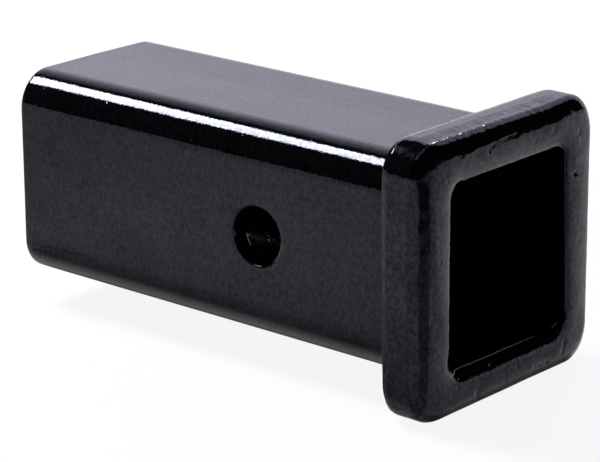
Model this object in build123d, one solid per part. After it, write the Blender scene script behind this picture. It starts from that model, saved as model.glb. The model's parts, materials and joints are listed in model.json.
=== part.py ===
from build123d import *
import os

# Weld-in receiver tube: a square steel tube with a forged collar welded round its mouth.
# Millimetres. +X points out of the mouth, +Z is up, and the pin goes through along Y.
# The origin is where the pin's axis crosses the tube's axis.

# Tube
tube_size = 63.5
tube_wall = 6.0
tube_corner_radius = 11.0
tube_length = 162.0
tube_end_land = 1.0
rear_edge_rounding = 0.6

# Pin hole
pin_hole_diameter = 17.5
pin_setback = 66.7
pin_hole_edge_rounding = 0.5

# Collar, a ring that hangs on the tube's top with all its play underneath
collar_wall = 8.0
collar_depth = 14.0
collar_clearance = 0.8
collar_corner_radius = 12.0
collar_front_land = 1.5
collar_back_rounding = 1.4

# Groove weld at the mouth, between the bevelled tube end and the bevelled collar
groove_bevel = 2.0
groove_unfilled_root = 0.4

# Fillet weld round the tube behind the collar
fillet_length = 6.0
fillet_height = 5.0
fillet_crown = 0.6

# Sizes and places that follow from those above
mouth_x = pin_setback
rear_x = mouth_x - tube_length
collar_back_x = mouth_x - collar_depth
bore_size = tube_size - 2 * tube_wall
bore_corner_radius = tube_corner_radius - tube_wall
mouth_rounding = tube_wall - groove_bevel - tube_end_land
collar_opening = tube_size + 2 * collar_clearance
collar_opening_radius = tube_corner_radius + collar_clearance
collar_size = collar_opening + 2 * collar_wall
collar_front_rounding = collar_wall - groove_bevel - collar_front_land
collar_drop = collar_clearance


def cross_plane(x, z=0.0):
    """Plane across the tube at x, with its own x along Y and its own y along Z."""
    return Plane(origin=(x, 0, z), x_dir=(0, 1, 0), z_dir=(1, 0, 0))


def square_bar(size, corner_radius, from_x, to_x, z=0.0):
    """Solid bar of a square section with rounded corners, along X."""
    section = cross_plane(from_x, z) * RectangleRounded(size, size, corner_radius)
    return extrude(section, amount=to_x - from_x)


def front_face(body):
    return body.faces().sort_by(Axis.X)[-1]


def rear_face(body):
    return body.faces().sort_by(Axis.X)[0]


def make_tube():
    tube = square_bar(tube_size, tube_corner_radius, rear_x, mouth_x)
    tube -= square_bar(bore_size, bore_corner_radius, rear_x, mouth_x)
    tube = chamfer(front_face(tube).outer_wire().edges(), groove_bevel)
    tube = fillet(front_face(tube).inner_wires()[0].edges(), mouth_rounding)
    tube = fillet(rear_face(tube).edges(), rear_edge_rounding)
    tube -= Rot(90, 0, 0) * Cylinder(pin_hole_diameter / 2, 2 * tube_size)
    rims = tube.edges().filter_by(GeomType.CIRCLE).filter_by(lambda edge: edge.is_closed).group_by(Axis.Y)
    return fillet(rims[0] + rims[-1], pin_hole_edge_rounding)


def make_collar():
    ring = square_bar(collar_size, collar_corner_radius, collar_back_x, mouth_x, -collar_drop)
    ring = fillet(front_face(ring).edges(), collar_front_rounding)
    ring = fillet(rear_face(ring).edges(), collar_back_rounding)
    ring -= square_bar(collar_opening, collar_opening_radius, collar_back_x, mouth_x, -collar_drop)
    return chamfer(front_face(ring).inner_wires()[0].edges(), groove_bevel)


def make_front_weld(tube, ring):
    """What is left of a square ring across the groove once the tube and the collar are taken out of it."""
    outward = groove_bevel + collar_front_land / 2
    inward = groove_bevel + tube_end_land / 2
    root_x = mouth_x - (groove_bevel - groove_unfilled_root)
    weld = square_bar(collar_opening + 2 * outward, collar_opening_radius + outward, root_x, mouth_x, -collar_drop)
    weld -= square_bar(tube_size - 2 * inward, tube_corner_radius - inward, root_x, mouth_x)
    return weld - tube - ring


def make_rear_weld():
    """A crowned triangular bead, swept once round the tube where it leaves the collar."""
    path = (cross_plane(collar_back_x) * RectangleRounded(tube_size, tube_size, tube_corner_radius)).wire()
    outward_plane = Plane(origin=path @ 0, x_dir=(1, 0, 0), z_dir=path % 0)
    toe = (-fillet_length, 0)
    heel = (0, 0)
    top = (0, fillet_height)
    middle = Vector(-fillet_length / 2, fillet_height / 2)
    crown = Vector(-fillet_height, fillet_length).normalized() * fillet_crown
    outline = Polyline(toe, heel, top) + ThreePointArc(top, middle + crown, toe)
    return sweep(outward_plane * make_face(outline), path=path)


receiver_tube = make_tube()
mouth_collar = make_collar()
front_weld = make_front_weld(receiver_tube, mouth_collar)
rear_weld = make_rear_weld()

os.makedirs("parts", exist_ok=True)
export_step(receiver_tube, "parts/receiver_tube.step")
export_step(mouth_collar, "parts/mouth_collar.step")
export_step(front_weld, "parts/front_weld.step")
export_step(rear_weld, "parts/rear_weld.step")
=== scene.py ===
import json
import math

import bmesh
import bpy
import numpy as np
from mathutils import Matrix, Vector, noise


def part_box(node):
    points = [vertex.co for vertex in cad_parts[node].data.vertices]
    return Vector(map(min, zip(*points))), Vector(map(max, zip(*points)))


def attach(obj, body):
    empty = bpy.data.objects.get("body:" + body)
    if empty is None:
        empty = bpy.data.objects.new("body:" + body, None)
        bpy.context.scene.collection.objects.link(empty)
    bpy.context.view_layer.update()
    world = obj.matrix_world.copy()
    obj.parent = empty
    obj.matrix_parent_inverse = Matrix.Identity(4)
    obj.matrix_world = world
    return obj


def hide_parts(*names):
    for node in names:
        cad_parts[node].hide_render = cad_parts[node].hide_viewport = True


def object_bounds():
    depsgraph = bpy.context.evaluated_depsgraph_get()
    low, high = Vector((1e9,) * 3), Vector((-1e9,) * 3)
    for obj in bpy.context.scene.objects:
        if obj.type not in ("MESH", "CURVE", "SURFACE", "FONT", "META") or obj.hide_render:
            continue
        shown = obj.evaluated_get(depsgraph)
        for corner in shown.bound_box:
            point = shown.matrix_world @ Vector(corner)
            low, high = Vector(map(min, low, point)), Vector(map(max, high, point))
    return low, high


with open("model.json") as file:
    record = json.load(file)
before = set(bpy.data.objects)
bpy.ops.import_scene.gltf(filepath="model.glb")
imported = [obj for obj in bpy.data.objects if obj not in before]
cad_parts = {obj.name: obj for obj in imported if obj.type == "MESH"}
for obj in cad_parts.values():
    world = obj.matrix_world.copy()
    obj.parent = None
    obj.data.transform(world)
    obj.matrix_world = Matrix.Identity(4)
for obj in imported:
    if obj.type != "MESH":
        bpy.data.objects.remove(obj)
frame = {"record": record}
cad_low, cad_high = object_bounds()

# A weld-in receiver tube in black powder coat: a square tube, a forged collar round its mouth and two welds.
# Sizes of the part are in millimetres, and those of the studio round it in metres.
# +X points out of the mouth and +Z is up. The near side is the one at -Y.

MM = 0.001


def node_box(node):
    """Lowest and highest corner of a CAD node, in millimetres."""
    low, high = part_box(node)
    return low / MM, high / MM


tube_low, tube_high = node_box("receiver_tube")
collar_low, collar_high = node_box("mouth_collar")
groove_low, groove_high = node_box("front_weld")
bead_low, bead_high = node_box("rear_weld")
pin_mount = next(mount for mount in frame["record"]["mounts"] if mount["name"] == "pin_hole")

# Sizes from the frame
MOUTH_X = tube_high.x
REAR_X = tube_low.x
TUBE_HALF = tube_high.z
COLLAR_HALF = collar_high.y
COLLAR_Z = (collar_low.z + collar_high.z) / 2
COLLAR_BACK_X = collar_low.x
GROOVE_HALF = groove_high.y
GROOVE_ROOT_X = groove_low.x
BEAD_TOE_X = bead_low.x
BEAD_HALF = bead_high.z
PIN_RADIUS = pin_mount["dims"]["r_mm"]

# Tube
WALL = 6.0
TUBE_CORNER = 11.0
REAR_ROUNDING = 0.6
BEVEL = 2.0
BORE_HALF = TUBE_HALF - WALL
TUBE_BASE = TUBE_HALF - TUBE_CORNER
LAND_HALF = TUBE_HALF - BEVEL
# Where its plain outside ends, just behind the front weld
TUBE_END_X = MOUTH_X - BEVEL - 1.0
# The flare behind the lip, and where the plain bore starts
FLARE_LENGTH = 12.0
BORE_START_X = MOUTH_X - 16.0
# How far the coat reaches into the mouth, and how near the bore a face counts as inside
COAT_REACH = 5.0
BORE_SKIN = 0.05
# How much smaller the lip's corner radii are, in order: near top, far top, far bottom, near bottom
LIP_SHARPER = (0.0, 3.2, 1.5, 0.0)
# The lip's ragged edge: its depth, then wavelength, height and seed of its rags
LIP_RAGGED = 0.12
LIP_RAGS = (2.2, 1.0, 10)
# Share of the forging's unevenness that is left at the lip
LIP_FORGED = 0.3
# Waves that drawing leaves along the outside, under its full size: wavelength each way, height and seed
DRAWN_DEPTH = 0.04
DRAWN_WAVES = (((70.0, 22.0, 22.0), 0.03, 4), ((50.0, 3.2, 3.2), 0.009, 5))
# The crease along the top: its Y at the rear, how far it has moved at the mouth, and the fall beyond it
CREASE_Y = 0.7
CREASE_DRIFT = 2.3
CREASE_FALL = 0.012

# Pin hole
PIN_INNER_ROUNDING = 0.3
# Its rim, worn by the punch: distance outside the hole and depth
PIN_RIM = ((0.72, 0.0), (0.6, 0.02), (0.2, 0.19), (0.05, 0.32), (0.0, 0.5))
# Where the rim is worn most, as an angle from +X toward +Z, and by what share more
RIM_WORN_SIDE = math.radians(20)
RIM_WORN_MORE = 0.7

# Front face round the mouth, side by side: half width of its crown, how far it falls outside and inside
# the crown, and how much wider than the bore it opens
CROWN = dict(near=32.6, far=31.5, top=32.6, bottom=34.2)
FALL_OUT = dict(near=4.8, far=4.6, top=4.8, bottom=4.6)
FALL_IN = dict(near=1.6, far=1.2, top=2.6, bottom=4.2)
OPENS_WIDER = dict(near=-0.5, far=1.3, top=0.0, bottom=1.8)
# The bottom crown lies lower toward the near side, and the far edge of the opening leans out at its foot
CROWN_SKEW = 0.6
OPENING_SKEW = 0.9
# The far side's gentle slope, out to a half width from which it is rounded
SLOPE_RADIUS = 26.0
SLOPE_END = 37.5

# Collar, and where its opening starts behind the groove
COLLAR_OPENING = GROOVE_HALF - BEVEL
OPENING_X = MOUTH_X - BEVEL - 0.5
# Its corner radii in order: near top, far top, far bottom, near bottom
COLLAR_CORNERS = (10.0, 9.5, 8.5, 11.5)
# Its back edge, a flat facet with rounded ends: length from the back, drop and facing in degrees
COLLAR_BACK_EDGE = (
    (0.0, 1.0, 180), (0.03, 0.8, 165), (0.12, 0.62, 142), (0.28, 0.47, 122), (0.5, 0.38, 108),
    (0.9, 0.28, 104), (1.4, 0.155, 103), (1.75, 0.075, 100), (2.1, 0.02, 95),
)
COLLAR_BACK_LENGTH = 2.5
# Where the facet is longest on the near side: Z, half height and by what share longer
LONG_FACET_Z = -22.0
LONG_FACET_HALF = 3.0
LONG_FACET = 0.6
# Lumps all over the forging, under its full size: wavelength, height and seed
FORGED_DEPTH = 0.12
FORGED_LUMPS = ((16.0, 0.06, 1), (6.0, 0.035, 2), (2.4, 0.02, 3))
LEAST_DEPTH = 0.01
# Hammer marks on its top and along its near front edge: wavelength, height and seed
TOP_DINTS = ((7.0, 1.7, 9.0), 0.06, 9)
EDGE_DINTS = (3.4, 0.1, 11)
# Where the top, the near side and the near front edge set in, from not at all to fully
TOP_IN_Z = (36.0, 39.0)
TOP_IN_Y = (36.0, 22.0)
NEAR_IN_Y = (-36.0, -39.0)
NEAR_IN_Z = (5.0, -37.0)
EDGE_IN_Y = (-34.5, -37.5)
EDGE_IN_X = (60.0, 63.0)
# The top slopes down toward the mouth from here, and the near side bows in toward its foot
TOP_SLOPE_X = 58.0
TOP_SLOPE_LENGTH = 3.5
TOP_SLOPE = 0.13
NEAR_BOW = 0.7

# Pits in the face round the mouth: y, z, radius and depth
FACE_PITS = (
    (32.2, 29.2, 0.9, 0.3), (31.6, 24.6, 0.7, 0.2), (30.3, 17.3, 1.0, 0.4), (28.9, 18.1, 0.8, 0.3),
    (27.0, -32.7, 1.1, 0.45), (26.3, -35.4, 0.8, 0.25), (18.9, -36.9, 1.0, 0.3), (16.8, -36.4, 0.8, 0.2),
    (15.0, -36.7, 0.9, 0.25), (-7.4, -30.6, 0.7, 0.2), (-22.4, -32.4, 0.7, 0.2), (-10.1, 33.0, 0.8, 0.3),
    (-12.0, 29.6, 0.6, 0.15), (-28.5, 28.5, 0.8, 0.22), (-14.0, -36.5, 1.3, 0.3), (-12.5, -38.5, 0.9, 0.3),
    (31.5, 2.5, 0.8, 0.2), (33.0, -3.0, 0.9, 0.15), (-31.2, 6.2, 0.9, 0.15), (-32.8, -20.5, 0.8, 0.15),
    (4.5, -33.6, 0.9, 0.14), (10.8, 31.2, 0.8, 0.14), (19.5, 32.4, 0.9, 0.16), (-1.0, -36.8, 1.0, 0.16),
)
# At this share of its radius a pit has lost most of its depth
PIT_STEEP = 0.75
# Scars in the face, from y, z to y, z, then half width and depth; a negative depth stands proud
FACE_SCARS = (
    (30.6, 36.4, 30.2, 31.5, 0.8, 0.14), (31.2, 27.0, 30.4, 22.5, 0.8, -0.2),
    (30.0, 21.5, 30.4, 18.8, 0.8, -0.18), (28.4, 18.0, 33.4, 16.4, 0.5, 0.42),
    (26.6, -33.5, 26.0, -36.4, 0.5, 0.22), (-24.0, 33.0, -15.0, 34.9, 0.4, -0.07),
    (-15.0, 34.9, 3.4, 35.9, 0.4, -0.09), (-16.0, 33.6, 3.0, 34.8, 0.6, 0.05),
    (21.0, -37.0, 13.0, -36.2, 0.9, 0.12),
)
# Scars come and go along their length: usual and greatest share of their depth, then the
# wavelength, height and seed of the change
SCAR_USUAL = 0.7
SCAR_MOST = 1.6
SCAR_BREAKS = (2.6, 1.1, 8)
# Pits and scars of the face set in between these distances behind the mouth
FACE_MARKS_IN = (7.0, 3.0)
# Laps folded into the near side at its back edge: x, z to x, z, then half width and depth
SIDE_LAPS = (
    (53.9, -17.6, 55.0, -19.5, 0.3, 0.3), (55.0, -19.5, 55.4, -21.8, 0.3, 0.3),
    (55.4, -21.8, 55.0, -24.2, 0.3, 0.3), (55.0, -24.2, 54.0, -26.4, 0.3, 0.3),
)
# Pits where the near bottom corner was hammered: x, y, z, radius and depth
CORNER_DENTS = (
    (64.2, -38.0, -35.2, 0.8, 0.35), (64.9, -36.8, -36.8, 0.7, 0.35), (63.6, -37.6, -37.0, 0.8, 0.4),
    (65.3, -35.6, -37.6, 0.7, 0.3), (64.4, -35.9, -38.6, 0.8, 0.4), (63.0, -38.8, -34.0, 0.7, 0.25),
    (62.2, -37.2, -37.8, 0.9, 0.3), (65.0, -38.0, -33.0, 0.7, 0.25),
)

# Welds: how far the front one goes past its groove, behind it and into both walls
ROOT_BEHIND = 0.6
ROOT_BITE = 0.4
# Rear bead: its facing in degrees and its crown, with the wavelength, height and seed of the crown's lumps
BEAD_FACING = 130
BEAD_CROWN = 0.6
CROWN_LUMPS = (11.0, 0.25, 7)
# Its ripples: how far they bow and, as wavelength, height and seed, wander in shares of the pitch
RIPPLE_PITCH = 2.2
RIPPLE_DEPTH = 0.22
RIPPLE_BOW = 0.5
RIPPLE_WANDER = (9.0, 0.4, 6)
# Below 1 the ripples have narrow crests and wide valleys between them
RIPPLE_POWER = 0.7

# Coat and overspray: size of each pattern, and height of the grit
STREAK_MM = 1.1
SPECK_MM = 0.6
CLOUD_MM = 14.0
SKIN_MM = 0.8
NIB_SPACING_MM = 2.4
NIB_HEIGHT_MM = 0.07
SCALE_MM = 1.6
SCALE_HEIGHT_MM = 0.2
SCALE_PATCH_MM = 9.0
GRAIN_SPACING_MM = 1.8

# Studio, in metres
FLOOR_RADIUS = 3.0
FLOOR_SEGMENTS = 96
# The white sweep behind the part: y and z across it, and its two ends along X
SWEEP_PROFILE = ((1.06, 0.0), (1.06, 0.7), (1.03, 0.82), (0.95, 0.92), (0.84, 0.98), (0.7, 1.0), (0.25, 1.02))
SWEEP_ENDS_X = (-2.2, 0.25)
# A card of painted shade, seen only in reflections, over the collar's near top corner
FLAG_X = (0.031, 0.060)
FLAG_Y = (-0.055, -0.018)
FLAG_Z = 0.056
SHADE_HEIGHT = 0.001
COOL_WHITE = "#eeeeff"
LAMP_WHITE = "#fbfbff"

# Painted shade on the floor, seen only in reflections, in millimetres: lines of its grid as start, end and
# step
SHADE_LINES_X = ((-900, -220, 20), (-220, 44, 6), (44, 76, 2), (76, 260, 8), (260, 1120, 20))
SHADE_LINES_Y = ((-1000, -200, 20), (-200, -110, 8), (-110, 60, 3), (60, 560, 20))
# Width over which the painted shade sets in at the tube's two ends
SHADE_EDGE = 8
# Painted shade beside the tube: distance out from its near side, and the share of dark
SHADE_BESIDE = (
    (-30, 0.95), (-15, 0.88), (-12, 0.81), (-6, 0.45), (2, 0.44), (4, 0.6), (8, 0.77), (14, 0.7),
    (20, 0.6), (30, 0.5), (40, 0.33), (48, 0.19), (60, 0.08), (80, 0.0),
)

# Camera: angles in degrees, metres and pixels of the image
CAMERA_AZIMUTH = 40.977
CAMERA_ELEVATION = 17.948
CAMERA_ROLL = -0.271
CAMERA_DISTANCE = 0.854957
CAMERA_TARGET = Vector((-0.010871, 0.0, -0.008501))
FOCAL_LENGTH_PIXELS = 2887.9
IMAGE_WIDTH_PIXELS = 600

# Mesh: cells along each flat and round each corner of the tube's grid and of the finer one
TUBE_FLAT_CELLS = 70
TUBE_CORNER_CELLS = 24
FINE_FLAT_CELLS = 140
FINE_CORNER_CELLS = 44
OUTSIDE_SPACING = 1.8
INSIDE_SPACING = 4.0
# The square window round the pin hole reaches this many cells, or millimetres, from the pin's axis
WINDOW_CELLS = 22
WINDOW = WINDOW_CELLS * 2 * TUBE_BASE / TUBE_FLAT_CELLS
# Loops between that window and the hole's rim, as shares of the way, and rows down the hole
WINDOW_SHARES = (0.35, 0.7, 1.0)
HOLE_ROWS = 6
# Rows of each stretch of a piece
REAR_BEND_ROWS = 5
REAR_FACE_ROWS = 4
TUBE_FACE_ROWS = 8
COLLAR_BACK_ROWS = 8
COLLAR_SIDE_ROWS = 16
COLLAR_FACE_ROWS = 30
FRONT_WELD_ROWS = 13
BEAD_ROWS = 17
SHARP_ANGLE = math.radians(48)
NOISE_SHIFT = Vector((17.3, 5.1, 29.7))
# A gap that only rounding makes
HAIR = 0.01

# Facing of a station in the plane of x and half width, in degrees
FRONT, OUT, REAR, IN = 0, 90, 180, -90


def ramp(value, start, end):
    """Straight rise from 0 at the start to 1 at the end."""
    return np.clip((value - start) / (end - start), 0, 1)


def ease(value, width=1):
    """Smooth rise from 0 at no value to 1 at the width."""
    share = np.clip(value / width, 0, 1)
    return share * share * (3 - 2 * share)


def soft_step(value, width):
    """Smooth rise from 0 to 1 over a width that has 0 in its middle."""
    return ease(value / width + 0.5)


def lumps(points, wavelength, height, seed):
    """Smooth noise of about that height either way; the wavelength is one for all or one each way."""
    flat = (points / np.asarray(wavelength)).reshape(-1, 3)
    shift = NOISE_SHIFT * seed
    return height * np.array([noise.noise(Vector(p) + shift) for p in flat]).reshape(points.shape[:-1])


class Lap:
    """One lap round a square with rounded corners, column by column, in Y and Z.

    A ring of half width h and straight half length b passes through b * square + (h - b) * outward.
    """

    def __init__(self, flat_cells, corner_cells):
        square, outward, corners = [], [], []
        side, along = np.array((-1.0, 0.0)), np.array((0.0, 1.0))
        for k in range(4):
            for u in np.linspace(-1, 1, flat_cells, endpoint=False):
                square.append(side + u * along)
                outward.append(side)
                corners.append(np.eye(4)[k - 1] * (1 - u) / 2 + np.eye(4)[k] * (1 + u) / 2)
            for turn in np.linspace(0, math.pi / 2, corner_cells, endpoint=False):
                square.append(side + along)
                outward.append(math.cos(turn) * side + math.sin(turn) * along)
                corners.append(np.eye(4)[k])
            side, along = along, -side
        self.square, self.outward, self.corners = np.array(square), np.array(outward), np.array(corners)
        self.columns = len(square)

    def by_side(self, near, far, top, bottom):
        """A value for each column, mixed from the sides that it faces."""
        y, z = self.outward.T
        return np.where(y < 0, near, far) * y ** 2 + np.where(z > 0, top, bottom) * z ** 2

    def by_corner(self, values):
        """A value for each column, mixed along each side from those of its two corners."""
        return self.corners @ np.array(values)

    def rings(self, stations):
        """Points of each station's ring and the way the surface faces, both as station, column, xyz.

        A station is x, half width, straight half length, height of the middle and facing.
        """
        spread = [[np.broadcast_to(value, self.columns) for value in station] for station in stations]
        x, half, base, z, facing = np.moveaxis(np.array(spread, dtype=float), 1, 0)
        around = base[..., None] * self.square + (half - base)[..., None] * self.outward
        turn = np.radians(facing)[..., None]
        points = np.stack([x, around[..., 0], around[..., 1] + z], axis=-1)
        normals = np.concatenate([np.cos(turn), np.sin(turn) * self.outward], axis=-1)
        return points, normals


COARSE = Lap(TUBE_FLAT_CELLS, TUBE_CORNER_CELLS)
FINE = Lap(FINE_FLAT_CELLS, FINE_CORNER_CELLS)


class Front:
    """The crowned face round the mouth: two quarter ellipses that meet at the crown.

    On the far side the outer one is a gentle slope with a tighter rounding at its end.
    """

    def __init__(self, lap):
        bottom = lap.by_side(near=0, far=0, top=0, bottom=1)
        self.far = lap.by_side(near=0, far=1, top=0, bottom=0)
        self.crown = lap.by_side(**CROWN) - CROWN_SKEW * bottom * lap.square[:, 0]
        self.fall_out = lap.by_side(**FALL_OUT)
        self.fall_in = lap.by_side(**FALL_IN)
        self.bore = BORE_HALF + lap.by_side(**OPENS_WIDER) - OPENING_SKEW * self.far * lap.square[:, 1]

    def station(self, half, base, z):
        """The station of the face at a half width."""
        outer = half >= self.crown
        reach = np.where(outer, COLLAR_HALF - self.crown, self.crown - self.bore)
        fall = np.where(outer, self.fall_out, self.fall_in)
        sine = np.clip((half - self.crown) / reach, -1, 1)
        cosine = np.sqrt(1 - sine ** 2)
        drop = fall * (1 - cosine)
        facing = np.degrees(np.arctan2(sine * fall, cosine * reach))
        slope_drop, slope_facing = self.far_slope(half)
        share = np.where(outer, self.far, 0)
        x = MOUTH_X - drop - (slope_drop - drop) * share
        return x, half, base, z, facing + (slope_facing - facing) * share

    def far_slope(self, half):
        """Drop and facing of the far side's slope and its rounding."""
        tilt = (np.minimum(half, SLOPE_END) - self.crown) / SLOPE_RADIUS
        end = (SLOPE_END - self.crown) / SLOPE_RADIUS
        radius = (COLLAR_HALF - SLOPE_END) / (1 - np.sin(end))
        sine = np.clip(np.sin(end) + (half - SLOPE_END) / radius, -1, 1)
        cosine = np.sqrt(1 - sine ** 2)
        rounded = half > SLOPE_END
        drop = tilt ** 2 * SLOPE_RADIUS / 2 + np.where(rounded, radius * (np.cos(end) - cosine), 0)
        return drop, np.degrees(np.where(rounded, np.arcsin(sine), tilt))


def run(start, end, steps):
    """Stations from start up to but not including end."""
    stations = []
    for step in range(steps):
        stations.append(tuple(a + (np.asarray(b) - a) * step / steps for a, b in zip(start, end)))
    return stations


def ring_faces(rows, columns, left_out=()):
    """Quads of a closed grid of rings, without the cells that are left out."""
    faces = []
    for row in range(rows):
        here, beyond = row * columns, (row + 1) % rows * columns
        for column in range(columns):
            after = (column + 1) % columns
            if (row, column) not in left_out:
                faces.append((here + column, here + after, beyond + after, beyond + column))
    return faces


def loop_faces(a, b):
    """Quads between two closed loops of as many vertices."""
    n = len(a)
    return [(a[i], a[(i + 1) % n], b[(i + 1) % n], b[i]) for i in range(n)]


def window_loop(rows, columns, width):
    """Vertices round the edge of a window in a grid, in order."""
    edge = [(rows[0], c) for c in columns[:-1]] + [(r, columns[-1]) for r in rows[:-1]]
    edge += [(rows[-1], c) for c in columns[:0:-1]] + [(r, columns[0]) for r in rows[:0:-1]]
    return [row * width + column for row, column in edge]


def piece(name, points, faces, node, materials):
    """A closed, smooth-shaded mesh from points in millimetres, which stands for a CAD node."""
    mesh = bpy.data.meshes.new(name)
    mesh.from_pydata((np.asarray(points).reshape(-1, 3) * MM).tolist(), [], faces)
    shape = bmesh.new()
    shape.from_mesh(mesh)
    bmesh.ops.recalc_face_normals(shape, faces=shape.faces)
    shape.to_mesh(mesh)
    shape.free()
    mesh.polygons.foreach_set("use_smooth", [True] * len(mesh.polygons))
    mesh.set_sharp_from_angle(angle=SHARP_ANGLE)
    for material in materials:
        mesh.materials.append(material)
    obj = bpy.data.objects.new(name, mesh)
    bpy.context.scene.collection.objects.link(obj)
    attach(obj, "root")
    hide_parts(node)
    return obj


def sink(points, normals, depth):
    """Moves points in under the surface, each by its own depth."""
    points -= normals * depth[..., None]


def near_line(across, a0, b0, a1, b1):
    """Distance of points in a plane from a line between two of its points."""
    start, way = np.array((a0, b0)), np.array((a1 - a0, b1 - b0))
    share = np.clip(((across - start) @ way) / (way @ way), 0, 1)
    return np.linalg.norm(across - start - share[..., None] * way, axis=-1)


def marks_depth(points):
    """Depth of the pits, scars, laps and dents."""
    x, y = points[..., 0], points[..., 1]
    face, side = points[..., 1:], points[..., ::2]
    depth = np.zeros(x.shape)
    for *centre, radius, deep in FACE_PITS:
        depth += deep * np.exp(-((face - centre) ** 2).sum(-1) / (PIT_STEEP * radius) ** 2)
    broken = np.clip(SCAR_USUAL + lumps(points, *SCAR_BREAKS), 0, SCAR_MOST)
    for *line, width, deep in FACE_SCARS:
        depth += deep * broken * np.exp(-(near_line(face, *line) / width) ** 2)
    depth *= ramp(MOUTH_X - x, *FACE_MARKS_IN)
    for *line, width, deep in SIDE_LAPS:
        depth += np.where(y < -TUBE_HALF, deep, 0) * np.exp(-(near_line(side, *line) / width) ** 2)
    for *centre, radius, deep in CORNER_DENTS:
        depth += deep * np.exp(-((points - centre) ** 2).sum(-1) / radius ** 2)
    return depth


def forged_depth(points):
    """How far a forged surface lies under its full size."""
    x, y, z = np.moveaxis(points, -1, 0)
    top = ramp(z, *TOP_IN_Z) * ramp(y, *TOP_IN_Y)
    near_edge = ramp(y, *EDGE_IN_Y) * ramp(x, *EDGE_IN_X)
    depth = FORGED_DEPTH + sum(lumps(points, *size) for size in FORGED_LUMPS)
    depth += lumps(points, *TOP_DINTS) * top
    depth += lumps(points, *EDGE_DINTS) * near_edge
    depth += TOP_SLOPE * np.clip(x - TOP_SLOPE_X, 0, TOP_SLOPE_LENGTH) * top
    depth += NEAR_BOW * ramp(y, *NEAR_IN_Y) * ramp(z, *NEAR_IN_Z) ** 2
    return np.maximum(LEAST_DEPTH, depth + marks_depth(points))


def drawn_depth(points):
    """Waves that drawing leaves in the tube's outside, and the shallow crease along its top."""
    x, y, z = np.moveaxis(points, -1, 0)
    waves = DRAWN_DEPTH + sum(lumps(points, *size) for size in DRAWN_WAVES)
    crease = CREASE_Y + CREASE_DRIFT * (x - REAR_X) / (MOUTH_X - REAR_X)
    return waves + CREASE_FALL * ramp(z, TUBE_BASE, TUBE_HALF) ** 2 * np.maximum(0, y - crease)


def srgb(code):
    """Linear colour of an sRGB hex code."""
    parts = [int(code[i:i + 2], 16) / 255 for i in (1, 3, 5)]
    return (*(p / 12.92 if p <= 0.04045 else ((p + 0.055) / 1.055) ** 2.4 for p in parts), 1.0)


def per(size_mm):
    """Scale of a pattern of that size, for coordinates in metres."""
    return 1 / (size_mm * MM)


def add(tree, kind, inputs=None, **settings):
    """Adds a node with its settings; each input takes a value or a link."""
    node = tree.nodes.new(kind)
    for key, value in settings.items():
        setattr(node, key, value)
    for key, value in (inputs or {}).items():
        if isinstance(value, bpy.types.NodeSocket):
            tree.links.new(value, node.inputs[key])
        else:
            node.inputs[key].default_value = value
    return node


def new_tree(owner):
    """The emptied node tree of a material or a world."""
    owner.use_nodes = True
    owner.node_tree.nodes.clear()
    return owner.node_tree


def film_noise(tree, place, grain):
    """Specks in the film, and how uneven it is with streaks and slow clouds added.

    Specks of powder are finer than this; they are drawn coarse enough to show.
    """
    drawn = add(tree, "ShaderNodeMapping", {"Vector": place, "Scale": grain}).outputs["Vector"]
    streak = add(tree, "ShaderNodeTexNoise", {"Vector": drawn, "Scale": per(STREAK_MM), "Detail": 4.0})
    speck = add(tree, "ShaderNodeTexNoise", {
        "Vector": place, "Scale": per(SPECK_MM), "Detail": 4.0, "Roughness": 0.75})
    cloud = add(tree, "ShaderNodeTexNoise", {"Vector": place, "Scale": per(CLOUD_MM), "Detail": 2.0})
    mixed = add(tree, "ShaderNodeMath", {0: streak.outputs["Fac"], 1: speck.outputs["Fac"]}, operation="ADD")
    summed = add(tree, "ShaderNodeMath", {
        0: cloud.outputs["Fac"], 1: 0.3, 2: mixed.outputs[0]}, operation="MULTIPLY_ADD")
    return speck.outputs["Fac"], summed.outputs[0]


def coat_relief(tree, place, peel_mm, peel_depth_mm, skin_depth_mm):
    """Orange peel, a finer skin on it and rare nibs of dust, as a normal.

    The nibs are drawn wider than real ones, so that they show.
    """
    peel = add(tree, "ShaderNodeTexNoise", {"Vector": place, "Scale": per(peel_mm), "Detail": 1.0})
    fine = add(tree, "ShaderNodeTexNoise", {"Vector": place, "Scale": per(SKIN_MM), "Detail": 2.0})
    nib = add(tree, "ShaderNodeTexVoronoi", {"Vector": place, "Scale": per(NIB_SPACING_MM)})
    rare = add(tree, "ShaderNodeMath", {0: nib.outputs["Color"], 1: 0.72}, operation="GREATER_THAN")
    spot = add(tree, "ShaderNodeMapRange", {
        "Value": nib.outputs["Distance"], "From Min": 0.0, "From Max": 0.2,
        "To Min": rare.outputs[0], "To Max": 0.0}, interpolation_type="SMOOTHSTEP")
    rolling = add(tree, "ShaderNodeBump", {
        "Height": peel.outputs["Fac"], "Distance": peel_depth_mm * MM, "Strength": 1.0})
    skin = add(tree, "ShaderNodeBump", {
        "Height": fine.outputs["Fac"], "Distance": skin_depth_mm * MM, "Strength": 1.0,
        "Normal": rolling.outputs["Normal"]})
    grit = add(tree, "ShaderNodeBump", {
        "Height": spot.outputs["Result"], "Distance": NIB_HEIGHT_MM * MM, "Strength": 1.0,
        "Normal": skin.outputs["Normal"]})
    return grit.outputs["Normal"]


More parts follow.
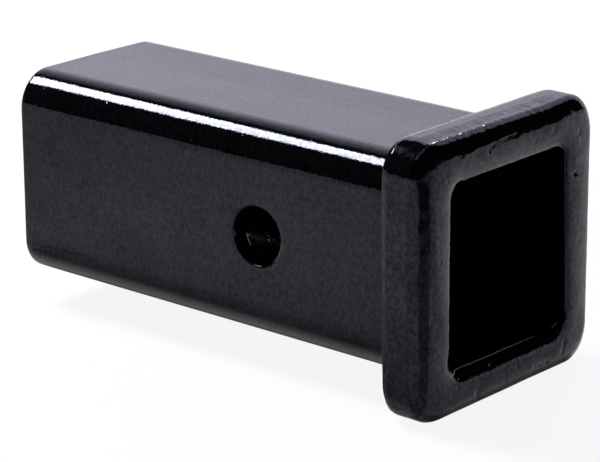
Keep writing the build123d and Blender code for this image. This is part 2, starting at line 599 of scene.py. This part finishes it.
def coat(name, film, worn, roughness, grain, peel_mm, peel_depth_mm, skin_depth_mm, gloss_range, tint):
    """Gloss black polyester powder coat: a deep black that mirrors the studio.

    Orange peel and a finer skin bend the reflections, nibs of dust stand in them, the film is uneven in
    its black and its gloss, and it is thin and paler on the edges. The IOR is below polyester's usual 1.5,
    matched to the object.
    """
    material = bpy.data.materials.new(name)
    tree = new_tree(material)
    place = add(tree, "ShaderNodeTexCoord").outputs["Object"]
    speck, uneven = film_noise(tree, place, grain)
    dusty = add(tree, "ShaderNodeMapRange", {"Value": uneven, "From Min": 0.98, "From Max": 1.4})
    gloss = add(tree, "ShaderNodeMapRange", {
        "Value": uneven, "From Min": 0.95, "From Max": 1.35,
        "To Min": gloss_range[0], "To Max": gloss_range[1]})
    dull = add(tree, "ShaderNodeMapRange", {
        "Value": dusty.outputs["Result"], "To Min": roughness, "To Max": roughness * 1.5})
    edge = add(tree, "ShaderNodeNewGeometry").outputs["Pointiness"]
    rubbed = add(tree, "ShaderNodeMath", {0: speck, 1: 0.12, 2: edge}, operation="MULTIPLY_ADD")
    wear = add(tree, "ShaderNodeMapRange", {"Value": rubbed.outputs[0], "From Min": 0.60, "From Max": 0.68})
    black = add(tree, "ShaderNodeMix", {
        "Factor": dusty.outputs["Result"], "A": srgb("#030304"), "B": srgb(film)}, data_type="RGBA")
    shade = add(tree, "ShaderNodeMix", {
        "Factor": wear.outputs["Result"], "A": black.outputs["Result"], "B": srgb(worn)}, data_type="RGBA")
    shader = add(tree, "ShaderNodeBsdfPrincipled", {
        "Base Color": shade.outputs["Result"], "Roughness": dull.outputs["Result"], "IOR": 1.36,
        "Specular IOR Level": gloss.outputs["Result"], "Specular Tint": tint,
        "Normal": coat_relief(tree, place, peel_mm, peel_depth_mm, skin_depth_mm)})
    add(tree, "ShaderNodeOutputMaterial", {"Surface": shader.outputs["BSDF"]})
    return material


def overspray():
    """Thin overspray on mill scale: rough and very dark, with a few grains that catch the light."""
    material = bpy.data.materials.new("overspray on scale inside the tube")
    tree = new_tree(material)
    place = add(tree, "ShaderNodeTexCoord").outputs["Object"]
    scale = add(tree, "ShaderNodeTexNoise", {"Vector": place, "Scale": per(SCALE_MM), "Detail": 3.0})
    patch = add(tree, "ShaderNodeTexNoise", {"Vector": place, "Scale": per(SCALE_PATCH_MM), "Detail": 2.0})
    black = add(tree, "ShaderNodeMix", {
        "Factor": patch.outputs["Fac"], "A": srgb("#010101"), "B": srgb("#050505")}, data_type="RGBA")
    cell = add(tree, "ShaderNodeTexVoronoi", {"Vector": place, "Scale": per(GRAIN_SPACING_MM)})
    grain = add(tree, "ShaderNodeMapRange", {
        "Value": cell.outputs["Distance"], "From Min": 0.1, "From Max": 0.22, "To Min": 1.0, "To Max": 0.02})
    skin = add(tree, "ShaderNodeBump", {
        "Height": scale.outputs["Fac"], "Distance": SCALE_HEIGHT_MM * MM, "Strength": 1.0})
    shader = add(tree, "ShaderNodeBsdfPrincipled", {
        "Base Color": black.outputs["Result"], "Roughness": 0.4, "IOR": 1.3,
        "Specular IOR Level": grain.outputs["Result"], "Normal": skin.outputs["Normal"]})
    add(tree, "ShaderNodeOutputMaterial", {"Surface": shader.outputs["BSDF"]})
    return material


# The grain draws the film's streaks out along each axis where it is below 1
ON_TUBE = dict(
    film="#0c0d0f", worn="#1b1c1f", roughness=0.04, grain=(0.9, 1.0, 0.7), peel_mm=2.6, peel_depth_mm=0.014,
    skin_depth_mm=0.026, gloss_range=(0.34, 0.66), tint=(0.74, 0.78, 1.0, 1.0))
ON_FORGING = dict(
    film="#0d0e10", worn="#202125", roughness=0.05, grain=(1.0, 1.0, 0.8), peel_mm=1.7, peel_depth_mm=0.024,
    skin_depth_mm=0.036, gloss_range=(0.28, 0.72), tint=(0.7, 0.76, 1.0, 1.0))
tube_coat = coat("powder coat on drawn tube", **ON_TUBE)
collar_coat = coat("powder coat on forging", **ON_FORGING)
weld_coat = coat("powder coat on weld", **ON_FORGING)
inside = overspray()


def tube_station(x, half, facing):
    """A station on the tube, with the straight lengths that all its rings share."""
    return x, half, TUBE_BASE, 0.0, facing


def bend(x, half, radius, start, end):
    """Stations round a rear edge whose centre is at x and half; start and end are facings."""
    stations = []
    for facing in np.linspace(start, end, REAR_BEND_ROWS, endpoint=False):
        turn = math.radians(facing)
        stations.append(tube_station(x + radius * math.cos(turn), half + radius * math.sin(turn), facing))
    return stations


def tube_wall(half, stops, spacing, facing):
    """Stations along a wall; across the window round the pin hole there are as many as it has columns."""
    stations = []
    for start, end in zip(stops, stops[1:]):
        steps = math.ceil(round(abs(end - start) / spacing, 6))
        if abs(start) == WINDOW == abs(end):
            steps = 2 * WINDOW_CELLS
        stations += run(tube_station(start, half, facing), tube_station(end, half, facing), steps)
    return stations


def tube_face(front, sharper):
    """Stations of the tube's share of the front face, in to its lip."""
    reach = front.crown - front.bore
    first = np.degrees(np.arcsin((front.crown - LAND_HALF) / reach))
    stations = []
    for share in np.linspace(0, 1, TUBE_FACE_ROWS):
        turn = np.radians(first + (90 - first) * share)
        stations.append(front.station(front.crown - reach * np.sin(turn), TUBE_BASE + sharper * share, 0.0))
    return stations


def flare(front, sharper, lip_x):
    """Stations that lead from the lip to the plain bore."""
    stations = []
    for share in (0.25, 0.5, 0.75):
        done = ease(share)
        half = front.bore + (BORE_HALF - front.bore) * done
        stations.append((lip_x - FLARE_LENGTH * share, half, TUBE_BASE + sharper * (1 - done), 0.0, IN))
    return stations


def pin_hole_loops(outer, inner):
    """Loops of points from a square window in the outside wall, through the hole, to the inside wall."""
    angle = np.arctan2(outer[:, 2], outer[:, 0])
    outer_y, inner_y = outer[:, 1].mean(), inner[:, 1].mean()
    inward = math.copysign(1, inner_y - outer_y)

    def circle(radius, y):
        level = np.broadcast_to(y, angle.shape)
        return np.stack([radius * np.cos(angle), level, radius * np.sin(angle)], axis=-1)

    def towards(square, ring, shares):
        return [square + (ring - square) * share for share in shares]

    worn = 1 + RIM_WORN_MORE * np.cos(angle - RIM_WORN_SIDE)
    outer_rim = circle(PIN_RADIUS + PIN_RIM[0][0] * worn, outer_y)
    inner_rim = circle(PIN_RADIUS + PIN_INNER_ROUNDING, inner_y)
    loops = towards(outer, outer_rim, WINDOW_SHARES)
    loops += [circle(PIN_RADIUS + out * worn, outer_y + inward * deep * worn) for out, deep in PIN_RIM[1:]]
    first, last = outer_y + inward * PIN_RIM[-1][1], inner_y - inward * PIN_INNER_ROUNDING
    loops += [circle(PIN_RADIUS, y) for y in np.linspace(first, last, HOLE_ROWS)[1:]]
    loops += towards(inner, inner_rim, WINDOW_SHARES[::-1])
    return loops


def pin_holes(points, outer_rows, inner_rows, columns):
    """Cells of the tube's grid that the two pin holes take out, and the points and faces put in."""
    left_out, lining, faces = set(), [], []
    count = len(points)
    for first_column in (0, 2 * (TUBE_FLAT_CELLS + TUBE_CORNER_CELLS)):
        middle = first_column + TUBE_FLAT_CELLS // 2
        window = list(range(middle - WINDOW_CELLS, middle + WINDOW_CELLS + 1))
        for rows in (outer_rows, inner_rows):
            left_out |= {(row, column) for row in sorted(rows)[:-1] for column in window[:-1]}
        outer_loop = window_loop(outer_rows, window, columns)
        inner_loop = window_loop(inner_rows, window, columns)
        previous = outer_loop
        for loop in pin_hole_loops(points[outer_loop], points[inner_loop]):
            current = list(range(count, count + len(loop)))
            count += len(loop)
            lining.append(loop)
            faces += loop_faces(previous, current)
            previous = current
        faces += loop_faces(previous, inner_loop)
    return left_out, lining, faces


def make_tube():
    lap, front = COARSE, Front(COARSE)
    sharper = lap.by_corner(LIP_SHARPER)
    rear = REAR_X + REAR_ROUNDING
    rear_outer, rear_inner = TUBE_HALF - REAR_ROUNDING, BORE_HALF + REAR_ROUNDING
    stations = bend(rear, rear_outer, REAR_ROUNDING, REAR, OUT)
    stations += tube_wall(TUBE_HALF, [rear, -WINDOW, WINDOW, TUBE_END_X], OUTSIDE_SPACING, OUT)
    outside = len(stations)
    stations.append(tube_station(TUBE_END_X, TUBE_HALF, OUT))
    face_start = len(stations)
    stations += tube_face(front, sharper)
    face_end = len(stations)
    stations += flare(front, sharper, stations[-1][0])
    bore_start = len(stations)
    stations += tube_wall(BORE_HALF, [BORE_START_X, WINDOW, -WINDOW, rear], INSIDE_SPACING, IN)
    bore_end = len(stations)
    stations += bend(rear, rear_inner, REAR_ROUNDING, IN, -REAR)
    stations += run(tube_station(REAR_X, rear_inner, REAR), tube_station(REAR_X, rear_outer, REAR),
                    REAR_FACE_ROWS)

    points, normals = lap.rings(stations)
    sink(points[:outside], normals[:outside], drawn_depth(points[:outside]))
    face = slice(face_start, face_end)
    fade = np.linspace(1, LIP_FORGED, face_end - face_start)[:, None]
    ragged = LIP_RAGGED * (1 - fade) * (1 + lumps(points[face], *LIP_RAGS))
    sink(points[face], normals[face], forged_depth(points[face]) * fade + ragged)

    points = points.reshape(-1, 3)
    outer_rows = [row for row in range(outside) if abs(stations[row][0]) < WINDOW + HAIR]
    inner_rows = [row for row in range(bore_start, bore_end) if abs(stations[row][0]) < WINDOW + HAIR][::-1]
    left_out, lining, lining_faces = pin_holes(points, outer_rows, inner_rows, lap.columns)
    faces = ring_faces(len(stations), lap.columns, left_out) + lining_faces
    points = np.vstack([points, *lining])
    tube = piece("tube", points, faces, "receiver_tube", [tube_coat, inside])
    for polygon in tube.data.polygons:
        x, y, z = polygon.center / MM
        if max(abs(y), abs(z)) < BORE_HALF + BORE_SKIN and x < MOUTH_X - COAT_REACH:
            polygon.material_index = 1


def make_collar():
    lap, front = FINE, Front(FINE)
    outer_base = COLLAR_HALF - lap.by_corner(COLLAR_CORNERS)

    def base_at(half, inner_half):
        return TUBE_BASE + (outer_base - TUBE_BASE) * ramp(half, inner_half, COLLAR_HALF)

    edge_z = COLLAR_Z + outer_base * lap.square[:, 1] + (COLLAR_HALF - outer_base) * lap.outward[:, 1]
    on_near_side = lap.outward[:, 0] < -0.5
    longer = 1 + LONG_FACET * np.exp(-((edge_z - LONG_FACET_Z) / LONG_FACET_HALF) ** 2) * on_near_side
    stations = []
    back_half = COLLAR_HALF - COLLAR_BACK_EDGE[0][1]
    for half in np.linspace(COLLAR_OPENING, back_half, COLLAR_BACK_ROWS, endpoint=False):
        stations.append((COLLAR_BACK_X, half, base_at(half, COLLAR_OPENING), COLLAR_Z, REAR))
    for along, drop, facing in COLLAR_BACK_EDGE:
        stations.append((COLLAR_BACK_X + along * longer, COLLAR_HALF - drop, outer_base, COLLAR_Z, facing))
    stations += run((COLLAR_BACK_X + COLLAR_BACK_LENGTH * longer, COLLAR_HALF, outer_base, COLLAR_Z, OUT),
                    (MOUTH_X - front.fall_out, COLLAR_HALF, outer_base, COLLAR_Z, OUT), COLLAR_SIDE_ROWS)
    reach = COLLAR_HALF - front.crown
    last = np.degrees(np.arcsin((GROOVE_HALF - front.crown) / reach))
    for share in np.linspace(0, 1, COLLAR_FACE_ROWS):
        half = front.crown + reach * np.sin(np.radians(90 + (last - 90) * share))
        stations.append(front.station(half, base_at(half, GROOVE_HALF), COLLAR_Z))
    shown = len(stations)
    stations.append((OPENING_X, COLLAR_OPENING, TUBE_BASE, COLLAR_Z, FRONT))
    stations.append(((MOUTH_X + COLLAR_BACK_X) / 2, COLLAR_OPENING, TUBE_BASE, COLLAR_Z, IN))
    points, normals = lap.rings(stations)
    sink(points[:shown], normals[:shown], forged_depth(points[:shown]))
    faces = ring_faces(len(stations), lap.columns)
    piece("collar", points, faces, "mouth_collar", [collar_coat])


def make_front_weld():
    lap, front = FINE, Front(FINE)
    stations = []
    for share in np.linspace(0, 1, FRONT_WELD_ROWS):
        half = GROOVE_HALF + (LAND_HALF - GROOVE_HALF) * share
        stations.append(front.station(half, TUBE_BASE, COLLAR_Z * (1 - share)))
    shown = len(stations)
    root_x = GROOVE_ROOT_X - ROOT_BEHIND
    stations.append((root_x, TUBE_HALF - ROOT_BITE, TUBE_BASE, 0.0, REAR))
    stations.append((root_x, COLLAR_OPENING + ROOT_BITE, TUBE_BASE, COLLAR_Z, REAR))
    points, normals = lap.rings(stations)
    sink(points[:shown], normals[:shown], forged_depth(points[:shown]))
    faces = ring_faces(len(stations), lap.columns)
    piece("front_weld_cap", points, faces, "front_weld", [weld_coat])


def make_rear_weld():
    lap = FINE
    shares = np.linspace(0, 1, BEAD_ROWS)
    stations = []
    for share in shares:
        x = COLLAR_BACK_X + (BEAD_TOE_X - COLLAR_BACK_X) * share
        stations.append(tube_station(x, BEAD_HALF + (TUBE_HALF - BEAD_HALF) * share, BEAD_FACING))
    stations.append(tube_station(COLLAR_BACK_X, TUBE_HALF, IN))
    points, normals = lap.rings(stations)
    bead, outward = points[:BEAD_ROWS], normals[:BEAD_ROWS]
    middle = bead[BEAD_ROWS // 2]
    travel = np.cumsum(np.linalg.norm(middle - np.roll(middle, 1, axis=0), axis=1))
    ripples = round(travel[-1] / RIPPLE_PITCH)
    fade = (4 * shares * (1 - shares))[:, None]
    phase = travel[None] / travel[-1] * ripples - RIPPLE_BOW * fade + lumps(bead, *RIPPLE_WANDER)
    crown = fade * (BEAD_CROWN + lumps(bead, *CROWN_LUMPS))
    ripple = RIPPLE_DEPTH * fade * (0.5 + 0.5 * np.cos(2 * math.pi * phase)) ** RIPPLE_POWER
    sink(bead, outward, ripple - crown)
    faces = ring_faces(len(stations), lap.columns)
    piece("rear_weld_bead", points, faces, "rear_weld", [weld_coat])


def stage_mesh(name, points, faces, material):
    """A mesh of the studio, from points in metres."""
    mesh = bpy.data.meshes.new(name)
    mesh.from_pydata(points, [], faces)
    mesh.materials.append(material)
    obj = bpy.data.objects.new(name, mesh)
    bpy.context.scene.collection.objects.link(obj)
    return obj


def only_in_reflections(obj):
    obj.visible_camera = False
    obj.visible_diffuse = False
    obj.visible_shadow = False
    obj.visible_transmission = False


def paper():
    """Matt white paper, lit so far that it looks plain white to the camera and in reflections."""
    material = bpy.data.materials.new("matt white paper")
    tree = new_tree(material)
    seen = add(tree, "ShaderNodeLightPath")
    mirror = add(tree, "ShaderNodeMath", {
        0: seen.outputs["Is Camera Ray"], 1: seen.outputs["Is Glossy Ray"]}, operation="MAXIMUM")
    either = add(tree, "ShaderNodeMath", {
        0: mirror.outputs[0], 1: seen.outputs["Is Transmission Ray"]}, operation="MAXIMUM")
    share = add(tree, "ShaderNodeMath", {0: either.outputs[0], 1: 0.9}, operation="MULTIPLY")
    sheet = add(tree, "ShaderNodeBsdfDiffuse", {"Color": srgb("#f0f0f0")})
    white = add(tree, "ShaderNodeEmission", {"Color": (1, 1, 1, 1), "Strength": 1.0})
    both = add(tree, "ShaderNodeMixShader", {0: share.outputs[0], 1: sheet.outputs[0], 2: white.outputs[0]})
    add(tree, "ShaderNodeOutputMaterial", {"Surface": both.outputs[0]})
    return material


def painted_light_sweep():
    """White sweep that glows with painted light: brighter up its back, and darker where it curves overhead.

    The places where its light changes are y and z in metres.
    """
    material = bpy.data.materials.new("white sweep with painted light")
    tree = new_tree(material)
    place = add(tree, "ShaderNodeTexCoord").outputs["Object"]
    parts = add(tree, "ShaderNodeSeparateXYZ", {"Vector": place})
    y, z = parts.outputs["Y"], parts.outputs["Z"]
    fall = add(tree, "ShaderNodeMapRange", {
        "Value": y, "From Min": 0.5, "From Max": 1.06, "To Min": 0.4, "To Max": 1.0})
    end = add(tree, "ShaderNodeMapRange", {"Value": y, "From Min": 0.25, "From Max": 0.45})
    rise = add(tree, "ShaderNodeMapRange", {
        "Value": z, "From Min": 0.36, "From Max": 0.405, "To Min": 1.12, "To Max": 1.53})
    level = add(tree, "ShaderNodeMath", {
        0: fall.outputs["Result"], 1: end.outputs["Result"]}, operation="MULTIPLY")
    bright = add(tree, "ShaderNodeMath", {
        0: level.outputs[0], 1: rise.outputs["Result"]}, operation="MULTIPLY")
    glow = add(tree, "ShaderNodeEmission", {"Color": srgb(COOL_WHITE), "Strength": bright.outputs[0]})
    add(tree, "ShaderNodeOutputMaterial", {"Surface": glow.outputs[0]})
    return material


def black_card():
    """Matt black card: a plain dark shape in the gloss."""
    material = bpy.data.materials.new("black card")
    tree = new_tree(material)
    card = add(tree, "ShaderNodeBsdfDiffuse", {"Color": srgb("#050505")})
    add(tree, "ShaderNodeOutputMaterial", {"Surface": card.outputs[0]})
    return material


def shade_sheet():
    """Thin dark sheet of painted shade: each place lets through as much of the floor as its painted shade
    leaves.
    """
    material = bpy.data.materials.new("painted shade on the floor")
    tree = new_tree(material)
    amount = add(tree, "ShaderNodeAttribute", attribute_name="shade").outputs["Fac"]
    clear = add(tree, "ShaderNodeBsdfTransparent", {"Color": (1, 1, 1, 1)})
    dark = add(tree, "ShaderNodeBsdfDiffuse", {"Color": srgb("#050505")})
    both = add(tree, "ShaderNodeMixShader", {0: amount, 1: clear.outputs[0], 2: dark.outputs[0]})
    add(tree, "ShaderNodeOutputMaterial", {"Surface": both.outputs[0]})
    return material


def make_floor():
    rim = [(FLOOR_RADIUS * math.cos(a), FLOOR_RADIUS * math.sin(a), cad_low.z)
           for a in np.linspace(0, 2 * math.pi, FLOOR_SEGMENTS, endpoint=False)]
    stage_mesh("floor", rim, [tuple(range(FLOOR_SEGMENTS))], paper())


def make_sweep():
    """The sweep that the top of the part mirrors."""
    points = [(x, y, z) for y, z in SWEEP_PROFILE for x in SWEEP_ENDS_X]
    faces = [(2 * i, 2 * i + 1, 2 * i + 3, 2 * i + 2) for i in range(len(SWEEP_PROFILE) - 1)]
    stage_mesh("sweep", points, faces, painted_light_sweep()).visible_camera = False


def sector(x, y, from_x, from_y, start, end):
    """How far points lie inside a sector of the floor, and their distance; angles turn from +X toward -Y."""
    edge_angle = 5
    angle = np.degrees(np.arctan2(from_y - y, x - from_x))
    share = soft_step(angle - start, edge_angle) * soft_step(end - angle, edge_angle)
    return share, np.hypot(x - from_x, y - from_y)


def grid_lines(stretches):
    """Places of the lines of a grid, from stretches with their own steps."""
    return np.concatenate([np.arange(start, end, float(step)) for start, end, step in stretches])


def shade_by_tube(x, y, beside):
    """Painted shade along the tube's near side, up to a slanting line behind its rear end."""
    rear_gap, rear_slant, far_fade = 12, 0.6, 20
    rear_limit = REAR_X - rear_gap - rear_slant * np.maximum(beside, 0)
    along = soft_step(x - rear_limit, SHADE_EDGE) * soft_step(MOUTH_X - x, SHADE_EDGE)
    return np.interp(beside, *zip(*SHADE_BESIDE)) * along * ease(TUBE_HALF - y, far_fade)


def shade_by_collar(x, beside):
    """Painted shade at the collar's foot, and the share by which it takes the place of the tube's."""
    darkest, reach, start_x, slant, past_mouth = 0.7, 80, 40, 0.87, 6
    dark = darkest * np.clip(1.1 - beside / reach, 0, 1) * ease(beside, 8)
    share = ease(x - start_x + slant * beside, 15) * ease(MOUTH_X + past_mouth - x, 12) * ease(beside, 6)
    return dark, share


def shade_under_collar(x, y):
    """Painted shade under the collar, drawn in from its sides."""
    darkest, inset, past_mouth = 0.95, 3, 0.8
    across = ease(COLLAR_HALF - inset - np.abs(y), 5)
    return darkest * across * soft_step(x - COLLAR_BACK_X, 4) * ease(MOUTH_X + past_mouth - x, 2)


def shade_behind(x, y, beside):
    """Painted shade behind the rear end, a patch at its near side and a faint fall farther out."""
    strip_dark, strip_gap, strip_end_x, strip_near_y = 0.95, 70, -420, -31
    strip = strip_dark * ease(REAR_X - strip_gap - x, 20) * ease(y - strip_near_y, 8)
    strip = strip * ease(x - strip_end_x, 60)
    patch_dark, patch_x, patch_length, patch_out, patch_width = 0.75, -114, 12, 34, 11
    from_middle = ((x - patch_x) / patch_length) ** 2 + ((beside - patch_out) / patch_width) ** 2
    patch = patch_dark * np.exp(-from_middle)
    faint_dark, faint_x, faint_y = 0.26, -100, -50
    faint = faint_dark * ease(faint_x - x, 130) * ease(faint_y - y, 60)
    return np.maximum(np.maximum(strip, patch), faint)


def shade_before(x, y):
    """Painted shade on the floor before the mouth, and beyond it painted dark to the left and right."""
    close_dark, close_reach, close_half = 0.35, 80, 90
    close = close_dark * np.clip(1 - (x - MOUTH_X) / close_reach, 0, 1) * soft_step(x - MOUTH_X, SHADE_EDGE)
    close = close * ease(close_half - np.abs(y), 40)
    left_dark, left_darker, darker_from = 0.64, 0.3, 130
    in_left, distance = sector(x, y, from_x=MOUTH_X, from_y=-38, start=-25, end=23)
    left = in_left * (left_dark + left_darker * ease(distance - darker_from, 80))
    right_dark = 0.35
    in_right, distance = sector(x, y, from_x=MOUTH_X, from_y=30, start=-25, end=5)
    return np.maximum(np.maximum(close, left), right_dark * in_right)


def make_shade():
    """Painted shade that the coat mirrors round the foot of the part and before its mouth."""
    x_lines, y_lines = grid_lines(SHADE_LINES_X), grid_lines(SHADE_LINES_Y)
    x, y = (grid.ravel() for grid in np.meshgrid(x_lines, y_lines, indexing="ij"))
    beside = -TUBE_HALF - y
    by_tube = shade_by_tube(x, y, beside)
    by_collar, share = shade_by_collar(x, beside)
    shade = by_tube + (by_collar - by_tube) * share
    for other in (shade_under_collar(x, y), shade_behind(x, y, beside), shade_before(x, y)):
        shade = np.maximum(shade, other)
    points = np.stack([x * MM, y * MM, np.full(len(x), cad_low.z + SHADE_HEIGHT)], axis=-1)
    n = len(y_lines)
    faces = [(i * n + j, i * n + n + j, i * n + n + j + 1, i * n + j + 1)
             for i in range(len(x_lines) - 1) for j in range(n - 1)]
    sheet = stage_mesh("shade", points.tolist(), faces, shade_sheet())
    sheet.data.attributes.new("shade", "FLOAT", "POINT").data.foreach_set("value", shade)
    only_in_reflections(sheet)


def make_flag():
    """Small card of painted shade that keeps the key lamp's highlight off the collar's near top corner."""
    (x0, x1), (y0, y1) = FLAG_X, FLAG_Y
    corners = [(x0, y0, FLAG_Z), (x1, y0, FLAG_Z), (x1, y1, FLAG_Z), (x0, y1, FLAG_Z)]
    only_in_reflections(stage_mesh("flag", corners, [(0, 1, 2, 3)], black_card()))


def make_lamp(name, centre, aim, width, height, radiance, colour):
    """A rectangular soft box; its power gives its face the stated radiance."""
    lamp = bpy.data.lights.new(name, "AREA")
    lamp.shape = "RECTANGLE"
    lamp.size = width
    lamp.size_y = height
    lamp.energy = radiance * math.pi * width * height
    lamp.color = srgb(colour)[:3]
    obj = bpy.data.objects.new(name, lamp)
    back = (Vector(centre) - Vector(aim)).normalized()
    right = Vector((1, 0, 0))
    right = (right - back * right.dot(back)).normalized()
    up = back.cross(right)
    obj.matrix_world = Matrix.Translation(centre) @ Matrix((right, up, back)).transposed().to_4x4()
    obj.visible_camera = False
    bpy.context.scene.collection.objects.link(obj)


def make_lamps():
    """The key box draws the highlight along the tube, and the glint one on the collar's near top corner."""
    make_lamp("key box", centre=(-0.70, -0.13, 0.82), aim=(0, -0.027, 0.03), width=0.46, height=0.34,
              radiance=34.0, colour=LAMP_WHITE)
    make_lamp("overhead box", centre=(0.1, -0.1, 1.3), aim=(0, 0, 0), width=0.8, height=0.8,
              radiance=0.9, colour=COOL_WHITE)
    make_lamp("glint", centre=(-0.087, 0.327, 0.348), aim=(0.063, -0.033, 0.038), width=0.03, height=0.03,
              radiance=60.0, colour=LAMP_WHITE)


def make_world():
    world = bpy.data.worlds.new("dark studio")
    tree = new_tree(world)
    dark = add(tree, "ShaderNodeBackground", {"Color": srgb("#0c0c0e"), "Strength": 1.0})
    add(tree, "ShaderNodeOutputWorld", {"Surface": dark.outputs[0]})
    bpy.context.scene.world = world


def make_camera():
    azimuth, elevation, roll = (math.radians(a) for a in (CAMERA_AZIMUTH, CAMERA_ELEVATION, CAMERA_ROLL))
    back = Vector((math.sin(azimuth) * math.cos(elevation), -math.cos(azimuth) * math.cos(elevation),
                   math.sin(elevation)))
    level = Vector((math.cos(azimuth), math.sin(azimuth), 0.0))
    right = level * math.cos(roll) + back.cross(level) * math.sin(roll)
    up = back.cross(right)
    camera = bpy.data.cameras.new("camera")
    camera.sensor_width = 36.0
    camera.lens = camera.sensor_width * FOCAL_LENGTH_PIXELS / IMAGE_WIDTH_PIXELS
    obj = bpy.data.objects.new("camera", camera)
    turn = Matrix((right, up, back)).transposed().to_4x4()
    obj.matrix_world = Matrix.Translation(CAMERA_TARGET + back * CAMERA_DISTANCE) @ turn
    bpy.context.scene.collection.objects.link(obj)
    bpy.context.scene.camera = obj


make_tube()
make_collar()
make_front_weld()
make_rear_weld()
make_floor()
make_sweep()
make_shade()
make_flag()
make_world()
make_lamps()
make_camera()
bpy.context.scene.view_settings.view_transform = "Standard"
